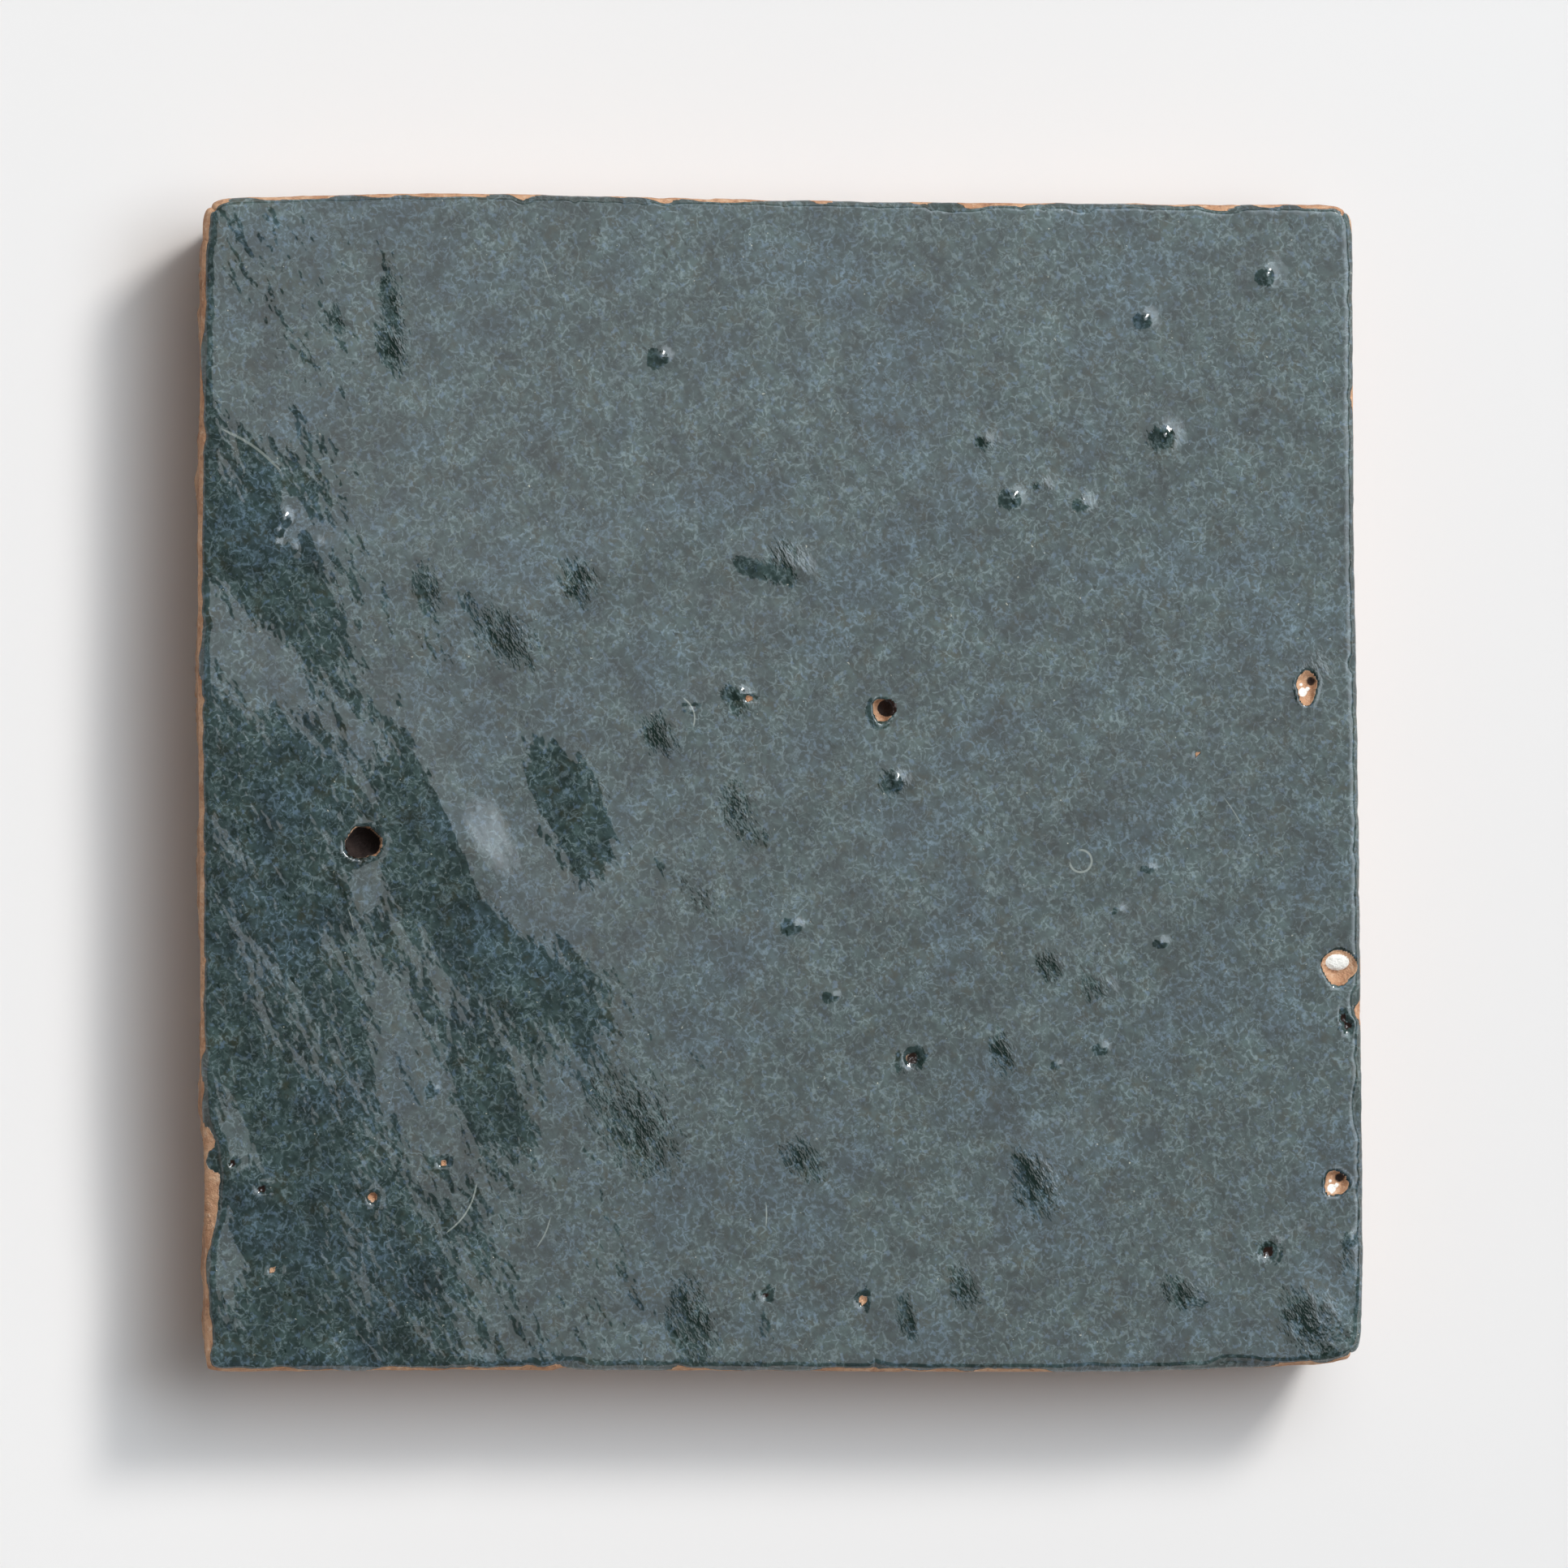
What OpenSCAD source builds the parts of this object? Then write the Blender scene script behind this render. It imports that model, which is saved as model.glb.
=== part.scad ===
// Zellige tile: one hand-cut square of terracotta with a fired glaze on its face.
// It lies on its flat back. The origin is at the middle of the back, +Z points up
// through the glazed face, and X and Y run along the two pairs of sides.
// Millimetres.

/* [Face] */
// Width over the outermost points of the sides, along X
face_w = 100.4; // [80:0.1:120]
// Length over the outermost points of the sides, along Y
face_l = 100.8; // [80:0.1:120]
// Thickness from the flat back to the mean level of the glaze
thickness = 12; // [9:0.1:18]

/* [Edge of the glaze] */
// Strip of bare clay that shows outside the glaze, all round
clay_strip = 0.4; // [0.1:0.05:1.2]
// Height over which that strip slopes down from the edge of the glaze
strip_h = 0.8; // [0.3:0.05:2]
// Width over which the glaze rolls down to its edge
roll_w = 0.7; // [0.3:0.1:2.5]
// Drop of the glaze across that roll
roll_drop = 0.22; // [0.1:0.02:1]
// Depth of the long chip in the glaze at the left side
chip_depth = 1; // [0:0.1:2.5]
// Half the length of that chip
chip_half = 4.6; // [2:0.1:10]

/* [Sides] */
// Height of the upright band of each side, under the bare strip
band_h = 4.5; // [2:0.1:6]
// How far the hand-cut sides draw in from that band down to the back
undercut = 1; // [0:0.1:3]
// Depth of the hollows that the cutting hammer left along the sides
hammer_depth = 0.4; // [0:0.05:0.8]
// Distance from one hammer hollow to the next along a side
hammer_pitch = 17; // [8:1:30]
// Height and width of the worn edge all round the back
back_edge = 0.8; // [0.3:0.1:2]

/* [Waves] */
// Height of the long swells in the face, from mean level to crest
swell_h = 0.1; // [0:0.01:0.5]
// Distance between the crests of the long swells
swell_pitch = 72; // [30:1:120]
// Height of the short ripples, from mean level to crest
ripple_h = 0.018; // [0:0.002:0.1]
// Distance between the crests of the short ripples
ripple_pitch = 14; // [10:1:40]
// Height of the low crests left of the middle, before each one's own share
crest_h = 0.24; // [0:0.01:0.5]
// Radius of those crests
crest_r = 7.5; // [4:0.5:14]
// Depth of the dip left of the middle
dip_depth = 0.45; // [0:0.01:0.8]
// Radius of that dip
dip_r = 4.6; // [3:0.1:10]

/* [Pits] */
// Mouth radius of the large burst bubble
bubble_r = 1.45; // [0.8:0.05:2.5]
// Depth of the large burst bubble
bubble_depth = 2.1; // [1:0.1:4]
// Mouth radius of the small burst bubble
small_bubble_r = 1; // [0.5:0.05:2]
// Depth of the small burst bubble
small_bubble_depth = 1.3; // [0.5:0.1:3]
// Mouth radius of the large pit at the right side
pop_r = 1.45; // [0.8:0.05:2.5]
// Depth of the large pit
pop_depth = 0.8; // [0.3:0.05:2]
// Mouth radius of the two small pits at the right side
pit_r = 1.1; // [0.5:0.05:2]
// Depth of the small pits
pit_depth = 0.7; // [0.3:0.05:1.5]

/* [Hidden] */

// Each side as pairs of [place along the side from -1 to 1, distance in from the
// outermost line]. A stretch at 0 is where the side reaches that line.
left_side = [[-1, 0.6], [-0.8, 0.55], [-0.68, 0.6], [-0.5, 0.25], [0, 0.1], [0.2, 0], [0.4, 0], [1, 0.4]];
right_side = [[-1, 0.2], [-0.85, 0], [-0.7, 0], [-0.3, 0.2], [0, 0.35], [0.4, 0.75], [1, 0.9]];
top_side = [[-1, 0.5], [-0.9, 0.35], [-0.65, 0], [-0.5, 0], [-0.18, 0.3], [0.2, 0.55], [1, 0.65]];
bottom_side = [[-1, 0.3], [-0.6, 0.35], [-0.18, 0.25], [0.4, 0], [0.6, 0], [0.7, 0.1], [1, 0.7]];

// How far each corner is worn back along both of its sides
worn_left_bottom = 0.3;
worn_right_bottom = 0.9;
worn_left_top = 0.8;
worn_right_top = 0.7;
// The larger this power, the closer the wear stays to the corner
wear_power = 60;

// Places on the face as shares of the half width and the half length
chip_at = -0.68;
crest_at = [[-0.70, 0.42], [-1.08, 0.20], [-0.50, -0.06], [-0.26, -0.29]];
dip_at = [-0.424, -0.07];
bubble_at = [-0.72, -0.10];
small_bubble_at = [0.17, 0.125];
pop_at = [0.956, -0.312];
pit_at = [[0.90, 0.165], [0.95, -0.68]];

// How long each crest and the dip are for their width, the way they run, and each crest's
// share of the height
crest_long = [1.5, 1.6, 1.2, 1.5];
crest_turn = [-50, -25, -75, -35];
crest_share = [1, 0.85, 1.1, 1.25];
dip_long = 1.35;
dip_turn = -60;

// Directions of the swells and ripples, in degrees from X, and where each starts
swell_dirs = [20, 110];
swell_starts = [40, 70];
ripple_dirs = [152, 64, 98];
ripple_starts = [15, 240, 130];

grid_cells = 40;
$fn = 48;

// Stops of the surface grid from -1 to 1, with one line at the inside of the rolled edge
function stops(half) =
    let (inner = 1 - roll_w / half)
    concat([-1], [for (i = [0:grid_cells]) -inner + 2 * inner * i / grid_cells], [1]);
stops_x = stops(face_w / 2);
stops_y = stops(face_l / 2);
last_x = len(stops_x) - 1;
last_y = len(stops_y) - 1;

// Wear at the corner that the place (u, v) is nearest to
function corner_wear(u, v) =
    (u < 0 ? (v < 0 ? worn_left_bottom : worn_left_top)
           : (v < 0 ? worn_right_bottom : worn_right_top)) * pow(abs(u * v), wear_power);

// Extra distance that the chip takes off the glaze along the left side
function chip(v) = chip_depth * exp(-pow((v - chip_at) * face_l / 2 / chip_half, 4));

// Plan position of the place (u, v). The margin holds the glaze back from the cut sides.
function plan_x(u, v, margin) =
    let (
        low = -face_w / 2 + lookup(v, left_side) + margin + (margin > 0 ? chip(v) : 0),
        high = face_w / 2 - lookup(v, right_side) - margin
    )
    low + (u + 1) / 2 * (high - low) - sign(u) * corner_wear(u, v);
function plan_y(u, v, margin) =
    let (
        low = -face_l / 2 + lookup(u, bottom_side) + margin,
        high = face_l / 2 - lookup(u, top_side) - margin
    )
    low + (v + 1) / 2 * (high - low) - sign(v) * corner_wear(u, v);

// One wave at (x, y): a sine along the direction dir
function wave(x, y, dir, pitch, start) = sin(360 * (x * cos(dir) + y * sin(dir)) / pitch + start);
function sum(list, i = 0) = i < len(list) ? list[i] + sum(list, i + 1) : 0;
function swells(x, y) =
    sum([for (i = [0:1]) wave(x, y, swell_dirs[i], swell_pitch * (1 - 0.2 * i), swell_starts[i])]) / 2;
function ripples(x, y) =
    sum([for (i = [0:2]) wave(x, y, ripple_dirs[i], ripple_pitch * (1 + 0.2 * i), ripple_starts[i])]) / 3;

// An oval bell of height 1 at a share of the face: long is its length over its width
function bell(x, y, at, radius, long, turn) =
    let (
        dx = x - at[0] * face_w / 2,
        dy = y - at[1] * face_l / 2,
        along = (dx * cos(turn) + dy * sin(turn)) / (radius * long),
        across = (dy * cos(turn) - dx * sin(turn)) / radius
    )
    exp(-along * along - across * across);
function crests(x, y) =
    sum([for (i = [0:3]) crest_share[i] * bell(x, y, crest_at[i], crest_r, crest_long[i], crest_turn[i])]);

// Level of the glaze above the back, before it rolls down at the edge
function level(x, y) =
    thickness + swell_h * swells(x, y) + ripple_h * ripples(x, y) + crest_h * crests(x, y)
    - dip_depth * bell(x, y, dip_at, dip_r, dip_long, dip_turn);

function face_point(i, j) =
    let (
        u = stops_x[i],
        v = stops_y[j],
        x = plan_x(u, v, clay_strip),
        y = plan_y(u, v, clay_strip),
        rolled = i == 0 || i == last_x || j == 0 || j == last_y
    )
    [x, y, level(x, y) - (rolled ? roll_drop : 0)];

// Grid places of the rim, anticlockwise from above
rim = concat(
    [for (i = [0:last_x - 1]) [i, 0]],
    [for (j = [0:last_y - 1]) [last_x, j]],
    [for (i = [last_x:-1:1]) [i, last_y]],
    [for (j = [last_y:-1:1]) [0, j]]
);
rim_n = len(rim);

// A point of the cut outline drawn in towards the middle and set at a height
function cut_point(place, inset, z) =
    let (u = stops_x[place[0]], v = stops_y[place[1]])
    [
        plan_x(u, v, 0) * (1 - 2 * inset / face_w),
        plan_y(u, v, 0) * (1 - 2 * inset / face_l),
        z
    ];
function hammered(place) =
    let (p = cut_point(place, 0, 0))
    hammer_depth * (0.5 + 0.5 * sin(360 * p[0] / hammer_pitch + 40) * cos(360 * p[1] / hammer_pitch));

// Height of the top of the upright band below one place of the rim
function band_top(place) = face_point(place[0], place[1])[2] - strip_h;

// The rings of the sides, from the top of the upright band down to the back
function side_ring(ring) = [
    for (place = rim)
        ring == 1 ? cut_point(place, 0, band_top(place))
        : ring == 2 ? cut_point(place, hammered(place), band_top(place) - band_h)
        : ring == 3 ? cut_point(place, undercut + hammered(place), back_edge)
        : cut_point(place, undercut + hammered(place) + back_edge, 0)
];
ring_n = 4;

function grid_index(i, j) = i + j * (last_x + 1);
function ring_index(ring, k) =
    ring == 0 ? grid_index(rim[k % rim_n][0], rim[k % rim_n][1])
    : (last_x + 1) * (last_y + 1) + (ring - 1) * rim_n + k % rim_n;

// The whole blank as one closed skin: the waved face, the cut sides and the flat back
module blank() {
    face_points = [for (j = [0:last_y]) for (i = [0:last_x]) face_point(i, j)];
    side_points = [for (ring = [1:ring_n]) each side_ring(ring)];
    face_cells = [
        for (j = [0:last_y - 1]) for (i = [0:last_x - 1])
            let (
                a = grid_index(i, j),
                b = grid_index(i + 1, j),
                c = grid_index(i + 1, j + 1),
                d = grid_index(i, j + 1)
            )
            each [[a, c, b], [a, d, c]]
    ];
    side_cells = [
        for (ring = [0:ring_n - 1]) for (k = [0:rim_n - 1])
            let (
                a = ring_index(ring, k),
                b = ring_index(ring, k + 1),
                c = ring_index(ring + 1, k + 1),
                d = ring_index(ring + 1, k)
            )
            each [[a, b, c], [a, c, d]]
    ];
    back = [[for (k = [0:rim_n - 1]) ring_index(ring_n, k)]];
    polyhedron(concat(face_points, side_points), concat(face_cells, side_cells, back));
}

// A round hollow in the glaze at a share of the face, with the radius of its mouth and its depth
module hollow(at, mouth_r, depth) {
    x = at[0] * face_w / 2;
    y = at[1] * face_l / 2;
    ball_r = (mouth_r * mouth_r + depth * depth) / (2 * depth);
    translate([x, y, level(x, y) - depth + ball_r]) sphere(r = ball_r);
}

module tile() {
    color("darkslategray")
    difference() {
        blank();
        hollow(bubble_at, bubble_r, bubble_depth);
        hollow(small_bubble_at, small_bubble_r, small_bubble_depth);
        hollow(pop_at, pop_r, pop_depth);
        for (at = pit_at) hollow(at, pit_r, pit_depth);
    }
}

tile();
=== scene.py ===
import math

import bpy
import numpy as np
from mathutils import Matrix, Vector


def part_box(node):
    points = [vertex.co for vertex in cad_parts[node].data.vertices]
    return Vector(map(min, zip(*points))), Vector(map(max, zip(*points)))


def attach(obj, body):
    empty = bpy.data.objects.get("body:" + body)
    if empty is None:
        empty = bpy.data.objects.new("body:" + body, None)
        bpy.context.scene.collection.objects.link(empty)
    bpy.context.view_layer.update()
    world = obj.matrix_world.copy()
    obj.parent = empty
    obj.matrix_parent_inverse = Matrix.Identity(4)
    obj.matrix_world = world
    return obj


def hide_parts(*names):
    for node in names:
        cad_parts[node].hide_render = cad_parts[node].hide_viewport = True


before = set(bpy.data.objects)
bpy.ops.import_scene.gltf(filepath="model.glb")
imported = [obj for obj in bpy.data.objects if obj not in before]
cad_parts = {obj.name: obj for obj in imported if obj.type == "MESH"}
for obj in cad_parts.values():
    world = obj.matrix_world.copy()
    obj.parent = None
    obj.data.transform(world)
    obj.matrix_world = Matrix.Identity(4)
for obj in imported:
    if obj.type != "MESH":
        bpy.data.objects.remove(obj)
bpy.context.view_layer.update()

MM = 0.001
scene = bpy.context.scene
scene.view_settings.view_transform = "Standard"

# Camera: almost straight down, leaning a little from the left side

CAMERA_DISTANCE = 1.5
CAMERA_LEAN = math.radians(7.0)
FRAME_WIDTH = 0.134
AIM_HEIGHT = 0.012

camera_data = bpy.data.cameras.new("Camera")
camera_data.sensor_width = 36.0
camera_data.lens = 36.0 * CAMERA_DISTANCE / FRAME_WIDTH
camera_data.clip_start = 0.01
camera_data.clip_end = 60.0
camera = bpy.data.objects.new("Camera", camera_data)
camera.location = (
    -CAMERA_DISTANCE * math.sin(CAMERA_LEAN),
    0.0,
    AIM_HEIGHT + CAMERA_DISTANCE * math.cos(CAMERA_LEAN),
)
camera.rotation_euler = (0.0, -CAMERA_LEAN, 0.0)
scene.collection.objects.link(camera)
scene.camera = camera

# Measures of the tile, in millimetres, as in the solid

tile_low, tile_high = (np.array(corner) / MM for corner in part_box("tile"))
FACE_W = tile_high[0] - tile_low[0]
FACE_L = tile_high[1] - tile_low[1]
THICKNESS = 12.0
CLAY_STRIP = 0.4
STRIP_H = 0.8
ROLL_W = 0.7
ROLL_DROP = 0.22
CHIP_DEPTH = 1.0
CHIP_HALF = 4.6
CHIP_AT = -0.68
BAND_H = 4.5
UNDERCUT = 1.0
HAMMER_DEPTH = 0.4
HAMMER_PITCH = 17.0
BACK_EDGE = 0.8
SWELL_H = 0.1
SWELL_PITCH = 72.0
RIPPLE_H = 0.018
RIPPLE_PITCH = 14.0
CREST_H = 0.24
CREST_R = 7.5
# Each crest: its place as shares of the half sizes, length over width, turn, share of the height
CRESTS = [
    ((-0.70, 0.42), 1.5, -50, 1.0),
    ((-1.08, 0.20), 1.6, -25, 0.85),
    ((-0.50, -0.06), 1.2, -75, 1.1),
    ((-0.26, -0.29), 1.5, -35, 1.25),
]
DIP_DEPTH = 0.45
DIP_R = 4.6
DIP_AT = (-0.424, -0.07)
DIP_LONG = 1.35
DIP_TURN = -60

# Each side: place along it from -1 to 1, and distance in from the outermost line
LEFT_SIDE = [(-1, 0.6), (-0.8, 0.55), (-0.68, 0.6), (-0.5, 0.25), (0, 0.1), (0.2, 0), (0.4, 0), (1, 0.4)]
RIGHT_SIDE = [(-1, 0.2), (-0.85, 0), (-0.7, 0), (-0.3, 0.2), (0, 0.35), (0.4, 0.75), (1, 0.9)]
TOP_SIDE = [(-1, 0.5), (-0.9, 0.35), (-0.65, 0), (-0.5, 0), (-0.18, 0.3), (0.2, 0.55), (1, 0.65)]
BOTTOM_SIDE = [(-1, 0.3), (-0.6, 0.35), (-0.18, 0.25), (0.4, 0), (0.6, 0), (0.7, 0.1), (1, 0.7)]
WEAR = {(-1, -1): 0.3, (1, -1): 0.9, (-1, 1): 0.8, (1, 1): 0.7}
WEAR_POWER = 60

# Burst bubbles and pits, as in the solid: place in millimetres, mouth radius, depth
BUBBLES = [((-36.14, -5.04), 1.45, 2.1), ((8.53, 6.3), 1.0, 1.3)]
POP = ((47.99, -15.72), 1.45, 0.8)
PITS = [((45.18, 8.32), 1.1, 0.7), ((47.69, -34.27), 1.1, 0.7)]

# Fine relief of the glaze, in millimetres

# Small bumps: place, radius, height
PIMPLES = [
    ((41.7, 43.6), 0.55, 0.30),
    ((31.1, 39.8), 0.50, 0.28),
    ((32.8, 29.8), 0.65, 0.36),
    ((19.7, 24.5), 0.55, 0.30),
    ((-10.6, 36.5), 0.55, 0.28),
    ((9.6, 0.3), 0.50, 0.26),
    ((-3.9, 7.8), 0.50, 0.18),
    ((0.9, -12.1), 0.45, 0.22),
    ((49.0, -39.0), 0.40, 0.20),
    ((25.8, 24.0), 0.40, 0.16),
    ((17.4, 29.4), 0.35, 0.12),
    ((22.2, 25.7), 0.35, 0.12),
    ((31.5, -7.2), 0.30, 0.14),
    ((28.9, -10.8), 0.25, 0.12),
    ((32.5, -13.6), 0.35, 0.16),
    ((27.4, -22.6), 0.35, 0.16),
    ((23.5, -24.0), 0.25, 0.12),
    ((4.2, -18.1), 0.35, 0.14),
    ((-30.0, -26.0), 0.25, 0.16),
    ((-43.0, 22.6), 0.60, 0.34),
    ((-43.6, 21.6), 0.60, 0.30),
    ((-43.7, 20.5), 0.50, 0.24),
    ((-42.2, 20.1), 0.45, 0.18),
    ((-40.4, 20.6), 0.90, 0.16),
]
# Pinholes: place, radius, depth, and how much of the clay shows inside
PINHOLES = [
    ((-35.3, -35.2), 0.40, 0.5, 1.0),
    ((-29.2, -32.3), 0.32, 0.4, 0.8),
    ((11.1, -23.5), 0.65, 0.35, 0.4),
    ((41.8, -40.1), 0.55, 0.35, 0.0),
    ((6.8, -44.1), 0.42, 0.4, 1.0),
    ((-1.6, -43.7), 0.30, 0.25, 0.0),
    ((48.8, -20.7), 0.40, 0.5, 0.0),
    ((48.4, -20.1), 0.34, 0.4, 0.0),
    ((-44.7, -34.5), 0.35, 0.3, 0.0),
    ((-47.3, -32.3), 0.30, 0.2, 0.0),
    ((-43.9, -41.4), 0.30, 0.2, 0.8),
    ((-3.1, 7.3), 0.28, 0.15, 1.0),
    ((-7.7, 6.6), 0.25, 0.15, 0.5),
    ((35.7, 2.6), 0.25, 0.12, 0.8),
]
# One-sided dents, steep on the left: place, width of the steep side, length, turn, height
FLECKS = [
    ((21.6, -34.2), 1.6, 3.0, -68, 0.20),
    ((19.2, -23.0), 1.1, 2.2, -75, 0.12),
    ((23.3, -15.8), 1.1, 1.6, -60, 0.12),
    ((26.8, -17.6), 1.2, 1.6, -45, 0.12),
    ((45.1, -45.7), 1.8, 3.0, -60, 0.24),
    ((34.5, -43.8), 1.3, 2.0, -45, 0.16),
    ((15.8, -43.0), 1.1, 2.0, -70, 0.11),
    ((11.0, -45.6), 0.9, 2.0, -65, 0.08),
    ((2.4, -32.0), 1.2, 1.8, -45, 0.08),
    ((-7.2, -45.9), 1.6, 2.8, -80, 0.10),
    ((-1.5, -46.5), 0.9, 1.5, -70, 0.05),
    ((-12.0, -29.0), 2.2, 2.6, -55, 0.08),
    ((-10.3, 4.1), 1.4, 1.8, -50, 0.10),
    ((-3.8, -1.6), 1.3, 2.2, -80, 0.10),
    ((-1.8, -4.6), 1.0, 1.6, -60, 0.08),
    ((-17.2, 17.2), 1.5, 1.8, -60, 0.12),
    ((-23.4, 12.8), 1.8, 2.4, -45, 0.09),
    ((-30.3, 17.2), 1.0, 1.8, -78, 0.05),
    ((-27.2, 16.0), 0.8, 1.6, -70, 0.04),
    ((-20.0, 14.6), 0.8, 1.2, -60, 0.05),
    ((-33.4, 40.0), 0.9, 3.2, -82, 0.03),
    ((-33.2, 37.0), 1.1, 1.6, -80, 0.04),
    ((1.5, 27.8), 0.6, 1.6, -80, 0.03),
    ((-9.8, -7.6), 1.3, 2.2, -40, 0.08),
    ((-5.4, -9.6), 1.1, 1.6, -60, 0.06),
    ((-3.8, 7.2), 0.9, 1.4, -60, 0.06),
    ((41.4, -40.0), 0.9, 1.4, -50, 0.12),
    ((48.8, -41.2), 0.9, 1.6, -80, 0.10),
]
# Low swellings too small for the solid: place, radius, length over width, turn, height
MOUNDS = [
    ((-28.0, -5.0), 2.6, 1.6, -62, 0.20),
    ((-1.6, 19.0), 0.9, 2.6, -14, 0.16),
    ((1.2, 18.4), 1.2, 1.3, -40, 0.14),
    ((-4.0, 16.6), 1.8, 2.2, -20, -0.08),
]
# Each pale or dark field left of the middle is a part of the face that leans: its place, radius,
# length over width and turn, and its slope in steps, towards the lamps where it is pale
SOFTBOX_TURN = 17.9
SLOPE_STEP = 0.001
LEANS = [
    # The dark wedge at the left side, and the pale fields above and under it
    ((-46.0, 18.0), 4.5, 1.4, -20, -24),
    ((-47.0, 36.0), 5.0, 1.4, -50, 22),
    ((-46.0, 11.5), 3.5, 1.8, -15, 12),
    ((-34.0, 10.5), 4.0, 1.3, -40, 24),
    # The dark field round the large bubble, with the pale patch under that
    ((-43.0, 1.0), 5.5, 1.5, 0, -26),
    ((-33.0, 2.0), 3.0, 1.6, -75, -16),
    ((-35.7, -8.2), 2.1, 1.3, -45, 32),
    ((-34.5, -13.5), 3.2, 1.4, -30, -22),
    ((-25.0, -14.0), 4.5, 1.9, -20, -20),
    ((-40.0, -14.0), 4.5, 1.4, -60, -18),
    ((-12.5, -24.0), 4.5, 1.4, -60, 14),
    # The pale crescent and the dark patch beside it
    ((-25.0, -5.2), 2.8, 2.0, -58, 48),
    ((-18.8, -1.2), 4.6, 1.4, -45, -34),
    # The pale streak, the blotch and the dark field below them
    ((-33.5, -20.0), 2.4, 1.9, -55, 16),
    ((-25.0, -27.0), 4.8, 1.2, -40, -30),
    ((-33.0, -38.0), 5.0, 1.8, -75, -6),
    ((-21.0, -37.0), 5.0, 1.5, -70, 8),
    # The pale places at the lower left corner
    ((-48.5, -40.0), 3.8, 1.9, -80, 46),
    ((-47.0, -30.0), 3.0, 1.5, -60, 36),
]
# Patches where the fine streaks stand higher: place, radius, length over width, turn, height
PATCHES = [
    ((-12.8, -28.9), 3.5, 1.3, -50, 0.0025),
    ((-7.9, -9.6), 2.5, 1.5, -50, 0.0022),
    ((-25.0, 13.5), 3.2, 1.5, -50, 0.0022),
    ((-21.0, 8.5), 3.0, 1.5, -50, 0.0022),
    ((-38.0, 4.0), 6.0, 1.3, -20, 0.0022),
    ((-24.0, -5.0), 3.0, 1.8, -60, 0.006),
    ((-18.0, -2.0), 4.0, 1.5, -60, 0.006),
    ((-17.0, -16.0), 5.0, 1.8, -45, 0.002),
    ((-40.0, 22.0), 6.0, 1.5, -50, 0.0022),
    ((-30.0, -25.0), 6.0, 1.7, -60, 0.0016),
    ((19.5, -20.0), 3.0, 1.8, -60, 0.0025),
    ((20.5, -30.0), 2.0, 1.8, -65, 0.002),
    ((41.0, -44.0), 4.0, 1.8, -30, 0.002),
    ((6.0, -44.0), 3.5, 1.8, -10, 0.002),
]
# Blotches of painted dark reflection and shade, at small slope breaks in the glaze and round its bumps and
# pits: place, radius, length over width, turn, strength
PAINTED_DARK_REFLECTIONS = [
    ((22.0, -34.0), 1.9, 1.7, -70, 0.9),
    ((19.0, -23.0), 1.1, 1.9, -80, 0.8),
    ((23.0, -15.5), 1.1, 1.4, -60, 0.8),
    ((26.8, -17.5), 1.4, 1.3, -40, 0.7),
    ((45.2, -46.0), 2.6, 1.3, -50, 0.9),
    ((34.5, -43.6), 1.5, 1.3, -30, 0.8),
    ((15.8, -43.0), 1.2, 1.6, -70, 0.8),
    ((11.0, -45.5), 0.9, 2.0, -70, 0.6),
    ((2.2, -32.2), 1.4, 1.5, -40, 0.7),
    ((-7.4, -46.0), 1.6, 1.8, -80, 0.8),
    ((-12.0, -29.0), 2.6, 1.5, -55, 0.8),
    ((-10.5, 4.2), 1.5, 1.3, -50, 0.7),
    ((-3.6, -2.2), 1.3, 2.2, -75, 0.7),
    ((-17.2, 17.2), 1.5, 1.2, -60, 0.8),
    ((-23.2, 12.6), 1.8, 1.6, -40, 0.8),
    ((-30.3, 17.2), 0.9, 1.8, -75, 0.7),
    ((-33.2, 41.0), 0.8, 3.0, -84, 0.7),
    ((-33.2, 37.2), 1.1, 1.6, -80, 0.9),
    ((-38.0, 39.8), 0.7, 1.4, -80, 0.4),
    ((0.2, 19.6), 1.5, 1.3, -35, 0.9),
    ((-3.8, 7.2), 1.0, 1.5, -60, 0.6),
    ((17.6, 29.2), 0.9, 1.4, -60, 0.6),
    ((22.6, 25.8), 0.9, 1.4, -60, 0.5),
    ((26.0, 24.2), 0.8, 1.4, -60, 0.5),
    ((32.6, 29.6), 1.3, 1.0, 0, 0.7),
    ((19.4, 24.6), 1.0, 1.0, 0, 0.5),
    ((9.6, 0.2), 1.2, 1.2, 60, 0.6),
    ((45.6, 9.6), 1.4, 1.5, 60, 0.6),
    ((41.6, -40.0), 1.2, 1.2, 40, 0.6),
    ((11.2, -23.6), 1.0, 1.4, 30, 0.5),
    ((-7.0, -9.5), 1.2, 2.0, -50, 0.5),
    ((48.6, -41.0), 1.2, 1.6, -80, 0.5),
]
STREAK_H = 0.0006
# Wider streaks and finer grain: heights over the right of the face, and over its left
DRIP_H = (0.0006, 0.0012)
GRAIN_H = (0.0003, 0.0005)

# Noise as a sum of sines


def waves(x, y, seed, count, pitch, toward=0.0, spread=180.0):
    """Smooth noise of about unit size: sines with pitches in a range, around one direction."""
    rng = np.random.default_rng(seed)
    total = np.zeros(np.broadcast(x, y).shape)
    for _ in range(count):
        angle = math.radians(toward + rng.uniform(-spread, spread))
        length = math.exp(rng.uniform(math.log(pitch[0]), math.log(pitch[1])))
        phase = rng.uniform(0, 2 * math.pi)
        total += np.sin(2 * math.pi * (x * math.cos(angle) + y * math.sin(angle)) / length + phase)
    return total / math.sqrt(count / 2)


def smooth_step(value, low, high):
    t = np.clip((value - low) / (high - low), 0, 1)
    return t * t * (3 - 2 * t)


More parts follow.
